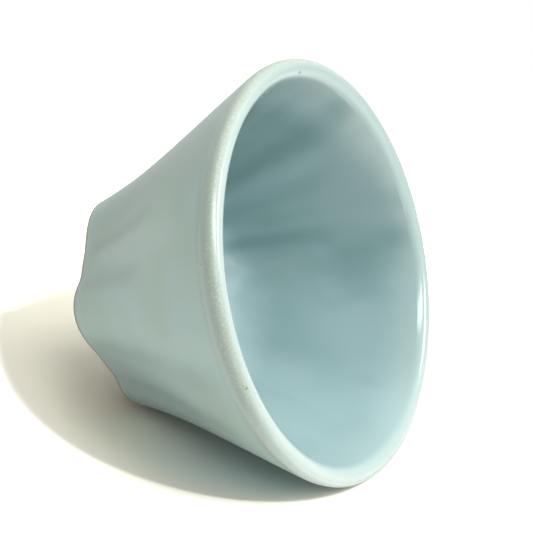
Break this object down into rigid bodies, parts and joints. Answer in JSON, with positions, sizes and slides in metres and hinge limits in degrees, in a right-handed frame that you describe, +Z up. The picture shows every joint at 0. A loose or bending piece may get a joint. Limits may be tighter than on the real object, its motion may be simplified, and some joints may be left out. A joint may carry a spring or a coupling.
{
  "type": "celadon cup",
  "caption": "Celadon tea cup of flared form with soft vertical ridges rising from a lobed foot, a round pale lip, glazed inside and out over grey stoneware, on a low bare foot ring.",
  "frame": {"origin": "centre of the foot ring, on the table", "axes": "+Z up the cup's axis towards the mouth; the picture's camera stands at -Y and above the mouth"},
  "size_m": [0.0848, 0.0848, 0.0523],
  "materials": {
    "clay": "fired stoneware, matt, where it shows as a thin line round the foot's edge and under the base",
    "bare_clay": "bare fired clay, wiped smooth, warm buff",
    "outer_celadon": "satin grey green celadon glaze",
    "lip_celadon": "thin pale celadon glaze, glossy, finely speckled on the outer shoulder",
    "inner_celadon": "smooth blue green celadon glaze, satin to glossy",
    "foot_celadon": "thin grey green celadon glaze, satin"
  },
  "bodies": {
    "root": {"clay_body": "clay", "foot_ring": "bare_clay", "outer_glaze": "outer_celadon", "lip_glaze": "lip_celadon", "inner_glaze": "inner_celadon", "foot_glaze": "foot_celadon"}
  },
  "joints": []
}
